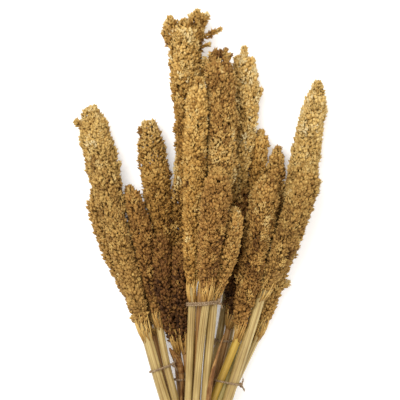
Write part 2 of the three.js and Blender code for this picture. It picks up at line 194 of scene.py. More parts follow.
# %% [markdown]
# ## Where a stem or a head runs
# The frame holds plain solids: a rod for each stem, a smooth long bud for each head. Their midlines are
# found by slicing. Each slice across the bundle is a closed outline, and its middle is a point of the
# line. Measuring the frame this way needs no list of places, so the grains follow if the frame changes.

# %% Slice a solid of the frame to find its midline
AHEAD = 0.02  # the share of a line over which its direction is taken


def arrays_of(node):
    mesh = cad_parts[node].data
    mesh.calc_loop_triangles()
    points = np.empty(len(mesh.vertices) * 3)
    mesh.vertices.foreach_get("co", points)
    faces = np.empty(len(mesh.loop_triangles) * 3, np.int32)
    mesh.loop_triangles.foreach_get("vertices", faces)
    return points.reshape(-1, 3), faces.reshape(-1, 3)


def slice_middle(points, faces, y):
    """The middle and the mean radius of a solid's slice at one place along the bundle."""
    edges = np.concatenate([faces[:, [0, 1]], faces[:, [1, 2]], faces[:, [2, 0]]])
    a, b = points[edges[:, 0]], points[edges[:, 1]]
    crossing = (a[:, 1] < y) != (b[:, 1] < y)
    a, b = a[crossing], b[crossing]
    share = (y - a[:, 1]) / (b[:, 1] - a[:, 1])
    hits = (a + (b - a) * share[:, None])[:, [0, 2]]
    rough = (hits.min(0) + hits.max(0)) / 2
    hits = hits[np.argsort(np.arctan2(*(hits - rough).T[::-1]))]
    after = np.roll(hits, -1, axis=0)
    cross = hits[:, 0] * after[:, 1] - after[:, 0] * hits[:, 1]
    area = cross.sum() / 2
    middle = ((hits + after) * cross[:, None]).sum(0) / (6 * area)
    return np.array([middle[0], y, middle[1]]), math.sqrt(abs(area) / math.pi)


class Midline:
    """A smooth line along a solid, from its foot at share 0 to its end at share 1."""

    def __init__(self, points):
        places = distances(points)
        self.points = points
        self.length = places[-1]
        self.shares = places / self.length

    def at(self, share):
        share = np.asarray(share, float)
        return np.stack([np.interp(share, self.shares, self.points[:, i]) for i in range(3)], -1)

    def along(self, share):
        share = np.clip(share, AHEAD, 1 - AHEAD)
        return unit(self.at(share + AHEAD) - self.at(share - AHEAD))

    def across(self, share, angle):
        """The direction out of the line at an angle: 0 is to the side, a quarter turn is up."""
        forward = self.along(share)
        side = unit(np.cross(forward, np.array([0.0, 0.0, 1.0])))
        up = np.cross(side, forward)
        return np.cos(angle)[..., None] * side + np.sin(angle)[..., None] * up


def midline_of(node, slices=22, margin=3 * MM):
    points, faces = arrays_of(node)
    low, high = points[:, 1].min(), points[:, 1].max()
    cuts = [slice_middle(points, faces, y) for y in np.linspace(low + margin, high - margin, slices)]
    middles = np.array([middle for middle, _ in cuts])
    radii = np.array([radius for _, radius in cuts])
    first, last = middles[1] - middles[0], middles[-1] - middles[-2]
    foot = middles[0] - first * margin / first[1]
    end = middles[-1] + last * margin / last[1]
    line = Midline(np.vstack([foot, middles, end]))
    line.radii = np.interp(line.shares, line.shares[1:-1], radii)
    return line


stalk_names = sorted(n[len("stem_"):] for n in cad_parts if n.startswith("stem_"))
stem_lines = {name: midline_of("stem_" + name) for name in stalk_names}
longest = max(line.length for line in stem_lines.values())
print(len(stalk_names), "stems,", round(longest / MM), "mm the longest")

# %% [markdown]
# ## Colour by place on a map
# Dry grain isn't one colour: it runs from deep brown, where the husk is in shade and dusty, to pale
# straw. A texture wrapped round five thousand grains would need a huge picture. Here each grain is laid
# instead on a small strip of a map, whose width says how pale the grain is and whose height runs from the
# grain's foot to its tip. The finish turns such a place into a colour, so one small map is exact for all.

# %% Finishes that read the map


def linear(r, g, b):
    return tuple(c / 12.92 if c <= 0.04045 else ((c + 0.055) / 1.055) ** 2.4 for c in (r, g, b)) + (1,)


class Nodes:
    """Short names for adding and joining shader nodes."""

    def __init__(self, name, roughness, gloss=0.3):
        self.finish = bpy.data.materials.new(name)
        self.finish.use_nodes = True
        self.tree = self.finish.node_tree
        self.shader = self.tree.nodes["Principled BSDF"]
        self.shader.inputs["Roughness"].default_value = roughness
        self.shader.inputs["Specular IOR Level"].default_value = gloss
        map_place = self.add("ShaderNodeUVMap")
        map_place.uv_map = "OFBake"
        split = self.add("ShaderNodeSeparateXYZ")
        self.join(map_place.outputs["UV"], split.inputs[0])
        self.u, self.v = split.outputs["X"], split.outputs["Y"]

    def add(self, kind, **settings):
        node = self.tree.nodes.new(kind)
        for key, value in settings.items():
            setattr(node, key, value)
        return node

    def join(self, source, socket):
        if hasattr(source, "is_linked"):
            self.tree.links.new(source, socket)
        else:
            socket.default_value = source

    def maths(self, operation, a, b):
        node = self.add("ShaderNodeMath", operation=operation)
        self.join(a, node.inputs[0])
        self.join(b, node.inputs[1])
        return node.outputs[0]

    def ramp(self, source, stops):
        node = self.add("ShaderNodeValToRGB")
        self.join(source, node.inputs[0])
        elements = node.color_ramp.elements
        while len(elements) < len(stops):
            elements.new(0.5)
        for element, (at, colour) in zip(elements, sorted(stops)):
            element.position = at
            element.color = linear(*colour)
        return node.outputs[0]

    def mottle(self, across, along, detail=3.0):
        """Noise over the map, stretched by giving it different counts across and along."""
        joined = self.add("ShaderNodeCombineXYZ")
        self.join(self.maths("MULTIPLY", self.u, across), joined.inputs[0])
        self.join(self.maths("MULTIPLY", self.v, along), joined.inputs[1])
        noise = self.add("ShaderNodeTexNoise")
        noise.inputs["Scale"].default_value = 1.0
        noise.inputs["Detail"].default_value = detail
        self.join(joined.outputs[0], noise.inputs["Vector"])
        return noise.outputs["Fac"]

    def blend(self, share, a, b, kind="MIX"):
        node = self.add("ShaderNodeMix", data_type="RGBA", blend_type=kind)
        self.join(share, node.inputs["Factor"])
        self.join(a, node.inputs["A"])
        self.join(b, node.inputs["B"])
        return node.outputs["Result"]

    def rough_up(self, height, strength, depth):
        """Shades small bumps. It is only for marks finer than the mesh."""
        bump = self.add("ShaderNodeBump")
        bump.inputs["Strength"].default_value = strength
        bump.inputs["Distance"].default_value = depth
        self.join(height, bump.inputs["Height"])
        self.join(bump.outputs[0], self.shader.inputs["Normal"])

    def done(self, colour):
        self.join(colour, self.shader.inputs["Base Color"])
        return self.finish


print("white in a shader is", linear(1, 1, 1))

# %% [markdown]
# ## Three colours of grain
# The heads differ: some pale straw, some golden, some brown. One recipe serves all three. A ramp gives the
# grain's own tone, a second darkens its foot, partly as the husk's own darker base and partly as painted
# shade, and fine specks break up both.

# %% Grain finishes


def grain_finish(name, tones):
    nodes = Nodes(name, roughness=0.72, gloss=0.22)
    tone = nodes.ramp(nodes.u, tones)
    # darker towards each grain's foot: partly the husk's own darker base, partly painted shade
    foot_tone_and_painted_shade = nodes.ramp(
        nodes.v,
        [(0, (0.6, 0.5, 0.38)), (0.3, (0.84, 0.79, 0.7)), (0.62, (1, 1, 1)), (1, (1, 0.98, 0.93))],
    )
    shaded = nodes.blend(1.0, tone, foot_tone_and_painted_shade, "MULTIPLY")
    speck = nodes.ramp(nodes.mottle(90, 7), [(0.35, (0.86, 0.83, 0.78)), (0.6, (1, 1, 1))])
    return nodes.done(nodes.blend(1.0, shaded, speck, "MULTIPLY"))


grain_finishes = {
    "pale_grain": grain_finish(
        "pale straw grain",
        [(0, (0.24, 0.15, 0.06)), (0.2, (0.48, 0.34, 0.16)), (0.45, (0.7, 0.55, 0.3)),
         (0.7, (0.84, 0.71, 0.43)), (0.9, (0.91, 0.81, 0.57)), (1, (0.95, 0.89, 0.72))],
    ),
    "straw_grain": grain_finish(
        "brown straw grain",
        [(0, (0.2, 0.11, 0.04)), (0.2, (0.43, 0.28, 0.12)), (0.45, (0.66, 0.49, 0.25)),
         (0.7, (0.81, 0.66, 0.38)), (0.9, (0.88, 0.77, 0.52)), (1, (0.93, 0.86, 0.67))],
    ),
    "golden_grain": grain_finish(
        "golden grain",
        [(0, (0.23, 0.13, 0.05)), (0.2, (0.47, 0.32, 0.13)), (0.45, (0.7, 0.53, 0.26)),
         (0.7, (0.84, 0.69, 0.4)), (0.9, (0.92, 0.81, 0.55)), (1, (0.96, 0.9, 0.72))],
    ),
}
print("grain finishes:", list(grain_finishes))

# %% [markdown]
# ## One grain
# A sorghum grain is a small bead held between two pointed husks, about 5 mm long together. Once dry, the
# husks gape like a beak. It is these pale open beaks, not the beads, that make a dried head look
# feathery. Bead and husks are closed bodies, and low in triangles, because there will be many thousands.
# They are one unit long here, and are sized as they are scattered.

# %% The grain and its husks
STRIP = 0.012  # half the width of a grain's own strip of the colour map


def egg(sides, rings):
    """A closed body round +Z. rings are (height, radius); the first and the last are its two points."""
    angles = np.arange(sides) * 2 * math.pi / sides
    points = [[0, 0, rings[0][0]]]
    for height, radius in rings[1:-1]:
        points += [[radius * math.cos(a), radius * math.sin(a), height] for a in angles]
    points.append([0, 0, rings[-1][0]])
    faces = []
    last = len(points) - 1
    for i in range(sides):
        j = (i + 1) % sides
        faces.append([0, 1 + j, 1 + i])
        for ring in range(len(rings) - 3):
            low, high = 1 + ring * sides, 1 + (ring + 1) * sides
            faces += [[low + i, low + j, high + j], [low + i, high + j, high + i]]
        top = 1 + (len(rings) - 3) * sides
        faces.append([top + i, top + j, last])
    return np.array(points, float), np.array(faces)


def grain_in_husks():
    points, faces = egg(4, [(0.06, 0), (0.42, 0.17), (0.74, 0)])
    for side, tip in ((1, 1.0), (-1, 0.88)):
        husk, husk_faces = egg(3, [(0, 0), (0.32, 0.2), (0.66, 0.16), (tip, 0)])
        husk[:, 1] = side * (0.45 * husk[:, 1] + 0.09 + 0.26 * husk[:, 2] ** 2)
        faces = np.vstack([faces, husk_faces[:, ::side] + len(points)])
        points = np.vstack([points, husk])
    return points, faces


husked_grain = grain_in_husks()
plain_grain = egg(4, [(0, 0), (0.25, 0.24), (0.62, 0.28), (1, 0)])


def scatter_grains(shape, kind, places, headings, sizes, tones, rng):
    """Copies a grain to each place, pointed along its heading, each rolled and sized by chance."""
    points, faces = kind
    count = len(places)
    roll = unit(np.cross(headings, rng.normal(size=(count, 3))))
    third = np.cross(headings, roll)
    widths = sizes * rng.uniform(0.86, 1.14, count)
    copies = (
        places[:, None]
        + (points[None, :, 0, None] * roll[:, None] + points[None, :, 1, None] * third[:, None])
        * widths[:, None, None]
        + points[None, :, 2, None] * headings[:, None] * sizes[:, None, None]
    )
    strip = STRIP * np.cos(3 * np.arctan2(points[:, 1], points[:, 0]) + 0.4)
    u = np.clip(tones, 0.03, 0.97)[:, None] + strip[None]
    v = np.broadcast_to(0.04 + 0.92 * np.clip(points[:, 2], 0, 1), u.shape)
    starts = np.arange(count) * len(points)
    shape.add(
        copies.reshape(-1, 3),
        (faces[None] + starts[:, None, None]).reshape(-1, 3),
        np.stack([u, v], -1).reshape(-1, 2),
    )


print("a grain in its husks has", len(husked_grain[1]), "triangles")

# %% [markdown]
# ## A twig
# Stems, side branches and twine are all rods along a curve. A sweep carries a small ring of points along
# the curve and closes it at both ends. The ring is kept square to the curve, so a bend doesn't pinch it.
# Blender's own curve bevel would do it too, but not with a radius for each side of each ring, which the
# ribs of a cane need.

# %% Sweep a rod along a curve


def square_to(route):
    """Two directions square to a route and to each other, at each of its points."""
    forward = unit(np.gradient(route, axis=0))
    least_along = np.eye(3)[np.argmin(np.abs(forward).mean(0))]
    side = unit(np.cross(forward, least_along))
    return side, np.cross(forward, side)


def wall_faces(rings, sides):
    """The triangles of a tube's wall, where each ring of points is joined to the next."""
    low = np.arange(rings - 1)[:, None] * sides
    here = np.arange(sides)[None]
    there = (here + 1) % sides
    high = low + sides
    halves = [[low + here, low + there, high + there], [low + here, high + there, high + here]]
    return np.concatenate([np.stack(half, -1).reshape(-1, 3) for half in halves])


def sweep(route, radii, sides, places=None):
    """A closed rod along the route, with one radius for each ring, or one for each of a ring's sides.
    places gives the map (u, v) of each ring and side. Without it, u runs round the rod and v along it."""
    count = len(route)
    side, other = square_to(route)
    angles = np.arange(sides) * 2 * math.pi / sides
    radii = radii if radii.ndim == 2 else radii[:, None]
    ring = np.cos(angles)[:, None] * side[:, None] + np.sin(angles)[:, None] * other[:, None]
    points = route[:, None] + ring * radii[..., None]
    points = np.vstack([points.reshape(-1, 3), route[0], route[-1]])
    foot, end = count * sides, count * sides + 1
    top = (count - 1) * sides
    caps = [[[foot, (s + 1) % sides, s], [top + s, top + (s + 1) % sides, end]] for s in range(sides)]
    faces = np.vstack([wall_faces(count, sides), np.array(caps).reshape(-1, 3)])
    if places is None:
        u = np.broadcast_to(np.abs(2 * np.arange(sides) / sides - 1)[None], (count, sides))
        v = np.broadcast_to(np.linspace(0, 1, count)[:, None], (count, sides))
        places = np.stack([u, v], -1)
    places = np.vstack([places.reshape(-1, 2), places[0].mean(0), places[-1].mean(0)])
    return points, faces, places


def arc(start, bend, end, count):
    t = np.linspace(0, 1, count)[:, None]
    return (1 - t) ** 2 * start + 2 * t * (1 - t) * bend + t**2 * end


def tone_strip(count, sides, low, high):
    """Map places for a twig that is laid on a strip of the colour map: low to high from foot to tip."""
    v = np.broadcast_to(np.linspace(0.06, 0.94, count)[:, None], (count, sides))
    round_it = np.cos(2 * math.pi * np.arange(sides) / sides)
    u = np.linspace(low, high, count)[:, None] + STRIP * round_it[None]
    return np.stack([u, v], -1)


print("a twig of 11 rings with 6 sides has", len(wall_faces(11, 6)) + 12, "triangles")

# %% [markdown]
# ## How a head fills its space
# The frame's smooth bud says how far the grains reach. Rays from its midline measure that reach all the
# way round, so a head that is pressed flat by its neighbour, or by the table, stays flat there. A tuft is
# the same kind of space for a small shoot that leaves the head, and it needs no rays.

# %% The space of a head


class Reach:
    """How far a head reaches from its midline, by share along it and by angle round it."""

    def __init__(self, node, rings=34, sides=28):
        points, faces = arrays_of(node)
        tree = BVHTree.FromPolygons(points.tolist(), faces.tolist())
        self.line = midline_of(node, margin=2 * MM)
        self.shares = np.linspace(0, 1, rings)
        self.angles = np.linspace(0, 2 * math.pi, sides + 1)
        self.table = np.zeros((rings, sides + 1))
        for i, share in enumerate(self.shares):
            inside = Vector(self.line.at(np.clip(share, 0.004, 0.996)))
            ways = self.line.across(np.full(sides, share), self.angles[:-1])
            for j, way in enumerate(ways):
                hit = tree.ray_cast(inside, Vector(way))
                self.table[i, j] = hit[3] if hit[3] is not None else 0
        self.table[:, -1] = self.table[:, 0]

    def at(self, share, angle):
        row = np.clip(share, 0, 1) * (len(self.shares) - 1)
        column = (angle % (2 * math.pi)) / (2 * math.pi) * (len(self.angles) - 1)
        i = np.minimum(row.astype(int), len(self.shares) - 2)
        j = np.minimum(column.astype(int), len(self.angles) - 2)
        a, b = row - i, column - j
        t = self.table
        near = t[i, j] * (1 - b) + t[i, j + 1] * b
        far = t[i + 1, j] * (1 - b) + t[i + 1, j + 1] * b
        return near * (1 - a) + far * a


class Tuft:
    """The space of a small side shoot: a line that swells and then comes to a point."""

    def __init__(self, route, radius):
        self.line = Midline(route)
        self.radius = radius

    def at(self, share, angle):
        swell = np.sin(np.clip(0.12 + 0.88 * share, 0, 1) * math.pi) ** 0.6
        return np.broadcast_to(self.radius * swell, np.shape(angle))


reaches = {name: Reach("head_" + name) for name in stalk_names}
print("heads are", sorted(round(1000 * r.line.length) for r in reaches.values()), "mm long")

# %% [markdown]
# ## Clumps of grains
# Grains sit in small clumps, one at the end of each side branch, with dark pits between the clumps. Places
# for them are laid in rings round the head, each moved a little by chance, and the middles of the clumps
# are laid the same way, further apart. A grain then knows how near it is to the edge of its own clump.

# %% Places and clumps
GRAIN_LENGTH = 6.2 * MM
GRAIN_STEP = 2.4 * MM
CLUMP_STEP = 9.5 * MM
LONG_CLUMPS = 0.72  # 0 makes clumps round, 1 makes them endless along the head


def ring_places(space, step, rng, low=0.0, high=1.0):
    """Evenly crowded shares and angles over a space's surface, each moved a little by chance."""
    eighths = np.arange(8) * math.pi / 4
    length = space.line.length
    shares, angles = [], []
    for share in np.arange(low + step / length / 2, high, step / length):
        reach = float(np.mean(space.at(np.full(8, share), eighths)))
        count = max(1, round(2 * math.pi * max(reach, 0.5 * step) / step))
        turn = rng.uniform(0, 2 * math.pi)
        angles.append(turn + (np.arange(count) + rng.uniform(-0.32, 0.32, count)) * 2 * math.pi / count)
        shares.append(share + rng.uniform(-0.45, 0.45, count) * step / length)
    return np.clip(np.concatenate(shares), 0, 1), np.concatenate(angles)


def lumps(travelled, angle, rng):
    """Slow swells along and round a head, a few clumps wide."""
    total = np.zeros(len(travelled))
    for wave in (34 * MM, 55 * MM, 85 * MM):
        for turns in (1, 2, 3):
            phase = rng.uniform(0, 2 * math.pi, 2)
            along = np.sin(2 * math.pi * travelled / wave + phase[0])
            total += along * np.cos(turns * angle + phase[1])
    return total / 3


def clump_edges(line, surface, centres, share):
    """0 in the middle of a clump and 1 at its edge, and which clump each grain is in."""
    forward = line.along(share)
    gap = surface[:, None] - centres[None]
    lengthwise = np.einsum("nci,ni->nc", gap, forward)
    distance = np.sqrt(np.maximum((gap**2).sum(-1) - LONG_CLUMPS * lengthwise**2, 0))
    nearest = np.sort(distance, axis=1)[:, :2]
    return np.clip(nearest[:, 0] / (nearest.mean(1) + 1e-9), 0, 1) ** 3, distance.argmin(1)


trial, _ = ring_places(reaches[stalk_names[0]], GRAIN_STEP, seeded("trial"))
print("a head has room for", len(trial), "grains")

# %% [markdown]
# ## The cover of a head
# One function lays the husked grains. A grain near the middle of its clump stands proud, one at a clump's
# edge sits deep and is painted darker as painted shade in the pit, and where the cover is torn some are left
# out. Some clumps are the ends of longer branches: they stand further out and make the outline ragged. Near
# the top the cover closes in on the midline, more or less bluntly. Each grain points up and outward, and
# sways to one side.

# %% Lay the cover
SINK = 2.7 * MM  # a grain starts this far inside the reach, as its husks then stick out by that much
PIT_DEPTH = 3.4 * MM
LUMP = 1.5 * MM
LONG_BRANCHES = 0.14  # the share of the clumps that are the end of a longer branch
THIN_FOOT = 14 * MM  # the cover thins out over this length at its foot
TAPER = 34 * MM  # and closes in over this length at its top
DROP = 4 * MM  # the last grains are moved back by up to this, so none runs past the tip
TILT, TILT_SPREAD = 30, 14  # degrees out from the midline
SWAY = 0.42
SIZE_SPREAD = 0.09
CLUMP_TONES = 0.11  # how much paler or darker a whole clump may be
GRAIN_TONES = 0.055  # and one grain
# how much darker the grains at a clump's edge are painted: painted shade in the pits between clumps
PIT_PAINTED_SHADE = 0.26


def cover(shape, space, tone, rng, step=GRAIN_STEP, low=0.0, high=1.0, openness=0.1, stand=0.0, point=0.4):
    """Lays husked grains over a space, from share low to high. tone gives the paleness at a share, openness
    is how torn the cover is, stand moves it out, and point is how much its top closes in."""
    line = space.line
    share, angle = ring_places(space, step, rng, low, high)
    clump_share, clump_angle = ring_places(space, CLUMP_STEP, rng, low, high)
    clump_reach = space.at(clump_share, clump_angle)
    centres = line.at(clump_share) + line.across(clump_share, clump_angle) * clump_reach[:, None]
    reach = space.at(share, angle)
    out = line.across(share, angle)
    edge, clump = clump_edges(line, line.at(share) + out * reach[:, None], centres, share)
    long_branch = rng.uniform(size=len(centres)) < LONG_BRANCHES
    lift = np.where(long_branch, LUMP, rng.normal(-0.5 * MM, 0.9 * MM, len(centres)))[clump]
    swell = lumps(share * line.length, angle, rng)
    from_foot = (share - low) * line.length
    keep = rng.uniform(size=len(share)) > openness * (0.15 + 3.0 * edge**2)
    keep &= rng.uniform(size=len(share)) < np.clip(from_foot / THIN_FOOT + 0.3, 0, 1)
    share, angle, reach, out, edge, lift, clump, swell = (
        a[keep] for a in (share, angle, reach, out, edge, lift, clump, swell)
    )
    count = len(share)
    depth = PIT_DEPTH * edge + rng.uniform(0, 1.2 * MM, count) - 0.6 * MM
    proud = np.minimum(lift, LUMP) + LUMP * swell + stand
    distance = np.maximum(reach - SINK - depth + proud, 0.3 * MM)
    forward = line.along(share)
    to_tip = (1 - share) * line.length
    distance *= 1 - point * np.clip(1 - to_tip / TAPER, 0, 1) ** 1.6
    back = np.clip(DROP - to_tip, 0, DROP)
    places = line.at(share) + out * distance[:, None] - forward * back[:, None]
    calm = 1 - 0.5 * np.clip((share - 0.93) / 0.07, 0, 1)
    tilt = np.radians(rng.normal(TILT, TILT_SPREAD, count) * calm)
    around = np.cross(forward, out)
    sway = rng.normal(0, SWAY, count) * calm
    headings = np.cos(tilt)[:, None] * forward + np.sin(tilt)[:, None] * out + sway[:, None] * around
    sizes = GRAIN_LENGTH * rng.normal(1, SIZE_SPREAD, count).clip(0.75, 1.25)
    patch = rng.normal(0, CLUMP_TONES, len(centres))[clump]
    # the last term paints shade on the grains that sit deep in the pits at the clump edges
    tones = tone(share) + patch + rng.normal(0, GRAIN_TONES, count) - PIT_PAINTED_SHADE * edge**2
    scatter_grains(shape, husked_grain, places, unit(headings), sizes, tones, rng)


print("a clump is", round(CLUMP_STEP / MM, 1), "mm wide and its pits", round(PIT_DEPTH / MM, 1), "mm deep")

# %% [markdown]
# ## Inside a head
# The stem goes on through the head, thinner and thinner. Long bare branches start on the stem just below
# the head, hug it and curl into the lowest grains. Shorter side branches leave the line in a slow spiral,
# and show in the pits. Smaller plain grains crowd the inside, so light that falls into a pit meets brown
# husk rather than the table behind.

# %% Grow what is inside a head
FOOT_BRANCHES = 30
FOOT_RINGS = 11
BRANCH_RINGS = 7
BRANCH_STEP = 4.6 * MM
BRANCH_RISE = 34 * MM
INNER_CROWD = 0.66  # the share of the inner places that hold a grain


def grow_rachis(shape, line, stem_radius):
    share = np.linspace(0, 0.95, 30)
    stops = [0.5 * stem_radius, 0.5 * stem_radius, 1.6 * MM, 0.4 * MM]
    radii = np.interp(share, [0, 0.08, 0.3, 1], stops)
    shape.add(*sweep(line.at(share), radii, 10, tone_strip(30, 10, 0.8, 0.45)))


def grow_feet(shape, reach, stem, rng):
    line = reach.line
    stem_radius = stem.radii[-1]
    for i in range(FOOT_BRANCHES):
        angle = np.array([i * GOLDEN_TURN + rng.uniform(-0.3, 0.3)])
        below = rng.uniform(0, 13) * MM
        share = rng.uniform(9, 26) * MM / line.length
        out = line.across(np.array([share]), angle)[0]
        spread = reach.at(np.array([share]), angle)[0]
        start = stem.at(1 - below / stem.length) + out * 0.96 * stem_radius
        end = line.at(share) + out * max(spread - 1.6 * MM, 1.2 * stem_radius)
        bend = line.at(0.3 * share) + out * max(0.95 * spread, 1.5 * stem_radius)
        curl = np.cross(line.along(share), out) * rng.normal(0, 1.3 * MM)
        wave = np.sin(np.linspace(0, rng.uniform(4, 8), FOOT_RINGS))
        route = arc(start, bend, end, FOOT_RINGS) + wave[:, None] * curl
        radii = np.linspace(1.0, 0.5, FOOT_RINGS) * MM
        low = rng.uniform(0.6, 0.84)
        shape.add(*sweep(route, radii, 6, tone_strip(FOOT_RINGS, 6, low, low - 0.14)))


def grow_branches(shape, reach, rng, top):
    line = reach.line
    for i, share in enumerate(np.arange(0.09, top, BRANCH_STEP / line.length)):
        angle = np.array([i * GOLDEN_TURN + rng.uniform(-0.4, 0.4)])
        foot = max(0.0, share - BRANCH_RISE / line.length * rng.uniform(0.7, 1.1))
        spread = reach.at(np.array([share]), angle)[0]
        out = line.across(np.array([share]), angle)[0]
        end = line.at(share) + out * max(spread - 2.6 * MM, 0.5 * MM)
        bend = line.at(foot + 0.35 * (share - foot)) + out * (0.62 * spread)
        route = arc(line.at(foot), bend, end, BRANCH_RINGS)
        radii = np.linspace(0.75, 0.35, BRANCH_RINGS) * MM * rng.uniform(0.8, 1.2)
        low = rng.uniform(0.42, 0.66)
        shape.add(*sweep(route, radii, 5, tone_strip(BRANCH_RINGS, 5, low, low - 0.1)))


def fill_inside(shape, reach, tone, rng, top):
    line = reach.line
    share, angle = ring_places(reach, GRAIN_STEP * 1.15, rng, 0.05, top)
    keep = rng.uniform(size=len(share)) < INNER_CROWD
    share, angle = share[keep], angle[keep]
    count = len(share)
    out = line.across(share, angle)
    depth = rng.uniform(0.45, 0.74, count) * reach.at(share, angle)
    headings = line.along(share) + out * rng.uniform(0.2, 1.2, count)[:, None]
    headings = unit(headings + rng.normal(0, 0.35, (count, 3)))
    sizes = 1.15 * GRAIN_LENGTH * rng.uniform(0.85, 1.15, count)
    # the inner grains are painted 0.1 darker than the cover: painted shade inside the head
    tones = tone(share) - 0.1 + rng.normal(0, 0.06, count)
    places = line.at(share) + out * depth[:, None]
    scatter_grains(shape, plain_grain, places, headings, sizes, tones, rng)


print(FOOT_BRANCHES, "foot branches a head, and a side branch every", round(BRANCH_STEP / MM, 1), "mm")

# %% [markdown]
# ## Eighteen heads, none alike
# Each head keeps its own look: how pale it is from its foot to its top, how loose its cover is, and how
# pointed its top. A few heads also end early, because shoots go on from them, or are a little fuller or
# slimmer than the frame's bud.

# %% Each head's look
PALE_HEAD, GOLD_HEAD, STRAW_HEAD = "pale_grain", "golden_grain", "straw_grain"
# name: (finish, paleness at the foot, middle and top, openness, how pointed its top is)
looks = {
    "left_outer": (PALE_HEAD, (0.46, 0.52, 0.8), 0.1, 0.55),
    "left_under": (PALE_HEAD, (0.42, 0.48, 0.6), 0.14, 0.5),
    "left_inner": (STRAW_HEAD, (0.38, 0.44, 0.6), 0.16, 0.55),
    "back_left_tall": (GOLD_HEAD, (0.46, 0.52, 1.0), 0.14, 0.3),
    "back_left_leaning": (GOLD_HEAD, (0.32, 0.42, 0.78), 0.24, 0.35),
    "back_left_short": (STRAW_HEAD, (0.18, 0.24, 0.4), 0.16, 0.5),
    "back_left_stub": (STRAW_HEAD, (0.2, 0.26, 0.4), 0.18, 0.5),
    "middle_dark": (STRAW_HEAD, (0.74, 0.78, 0.5), 0.14, 0.2),
    "middle_golden": (GOLD_HEAD, (0.52, 0.58, 0.78), 0.1, 0.45),
    "middle_front": (STRAW_HEAD, (0.44, 0.5, 0.6), 0.12, 0.45),
    "middle_side": (STRAW_HEAD, (0.52, 0.62, 0.68), 0.14, 0.4),
    "back_right_bright": (GOLD_HEAD, (0.7, 0.82, 0.84), 0.08, 0.6),
    "back_right_loose": (GOLD_HEAD, (0.42, 0.49, 0.74), 0.18, 0.45),
    # its dark tones are partly its own brown and partly painted shade, as it lies behind the others
    "back_right_deep": (STRAW_HEAD, (0.2, 0.24, 0.38), 0.3, 0.4),
    "right_outer": (PALE_HEAD, (0.52, 0.6, 0.94), 0.1, 0.6),
    "right_front": (PALE_HEAD, (0.46, 0.5, 0.6), 0.1, 0.4),
    "right_inner": (STRAW_HEAD, (0.5, 0.54, 0.66), 0.12, 0.45),
    "right_small": (STRAW_HEAD, (0.46, 0.58, 0.74), 0.16, 0.5),
}
TOP_CUTS = {  # the share at which a head's cover ends, where that isn't its very tip
    "back_left_tall": 0.9, "back_right_bright": 0.93, "middle_dark": 0.975,
    "right_outer": 0.98, "left_outer": 0.987, "back_left_leaning": 0.985,
}
INNER_TOPS = {"back_left_leaning": 0.76}  # the share at which the inner grains end; 0.93 for the others
FULLNESS = {  # how far the cover stands out past the frame's bud, in mm
    "right_inner": 1.2, "right_small": 1.4, "left_inner": 0.8, "left_under": -3.2, "right_outer": -0.3,
}
print(len(looks), "looks")

# %% [markdown]
# ## Shoots that stray
# A few side branches grow past the rest, and give the heads their lobes and broken tops. Others fill the
# space between two heads. A shoot is a small tuft of the same grains on a twig. It is given from and to,
# across and along the bundle in millimetres, and takes its height from the head that it grows on.

# %% The shoots
# (head, share of the head that it leaves from, from, to, radius of its grains, how pointed it is)
shoots = [
    ("left_outer", 0.84, (-128, 156), (-153, 175), 8.0, 0.95),
    ("left_outer", 0.72, (-108, 96), (-100, 127), 4.5, 0.7),
    ("back_left_tall", 0.84, (-34, 256), (-40, 299), 11.0, 0.3),
    ("back_left_tall", 0.86, (-30, 262), (-49, 281), 6.0, 0.5),
    ("back_left_tall", 0.84, (-24, 258), (-22, 296), 11.0, 0.3),
    ("back_left_tall", 0.86, (-16, 262), (-6, 307), 11.0, 0.3),
    ("back_left_tall", 0.88, (-10, 278), (6, 303), 7.0, 0.5),
    ("back_left_tall", 0.86, (-10, 258), (-3, 290), 8.0, 0.3),
    ("back_left_tall", 0.88, (-8, 268), (22, 284), 2.4, 0.5),
    ("back_left_tall", 0.84, (-10, 256), (8, 266), 1.8, 0.5),
    ("back_left_tall", 0.78, (-9, 214), (2, 250), 8.0, 0.5),
    ("back_left_tall", 0.25, (-27, 10), (-31, 132), 7.5, 0.4),
    ("back_left_leaning", 0.9, (-71, 150), (-75, 166), 4.6, 0.5),
    ("middle_dark", 0.95, (9, 244), (8, 255), 2.2, 0.8),
    ("middle_dark", 0.95, (14, 246), (13, 259), 2.2, 0.8),
    ("middle_dark", 0.95, (20, 246), (20, 258), 2.0, 0.8),
    ("middle_dark", 0.95, (26, 245), (27, 259), 2.4, 0.8),
    ("middle_dark", 0.95, (30, 242), (32, 253), 2.2, 0.8),
    ("back_right_bright", 0.88, (48, 232), (49, 264), 7.0, 0.95),
    ("back_right_bright", 0.9, (44, 230), (40, 252), 5.0, 0.9),
    ("back_right_bright", 0.78, (58, 196), (70, 214), 5.0, 0.8),
    ("left_under", 0.2, (-66, -46), (-84, 32), 4.5, 0.6),
    ("right_outer", 0.22, (88, -30), (103, -16), 4.2, 0.7),
    ("right_outer", 0.6, (128, 85), (138, 104), 3.4, 0.7),
    ("right_small", 0.3, (82, 12), (96, 98), 5.0, 0.6),
]


def grow_shoot(outer, heart, line, tone, rng, leaves_at, start, end, radius, point):
    height = line.at(leaves_at)[2]
    start = np.array([start[0] * MM, start[1] * MM, height])
    end = np.array([end[0] * MM, end[1] * MM, height + 2 * MM])
    bend = (start + end) / 2 + np.array([0, 2 * MM, 3 * MM])
    tuft = Tuft(arc(start, bend, end, 9), radius * MM)
    twig = np.vstack([line.at(leaves_at - 0.08), tuft.line.points])
    count = len(twig)
    heart.add(*sweep(twig, np.linspace(0.9, 0.35, count) * MM, 5, tone_strip(count, 5, 0.6, 0.5)))
    cover(outer, tuft, tone, rng, step=2.6 * MM, stand=1.2 * MM, point=point)


print(len(shoots), "shoots on", len({shoot[0] for shoot in shoots}), "heads")

# %% [markdown]
# ## Make the heads
# A head is made as two pieces: its cover of husked grains, and its heart of rachis, branches and inner
# grains. Both take the place of the frame's one smooth bud.

# %% Make eighteen heads


def paleness(stops):
    return lambda share: np.interp(share, [0, 0.5, 1], stops)


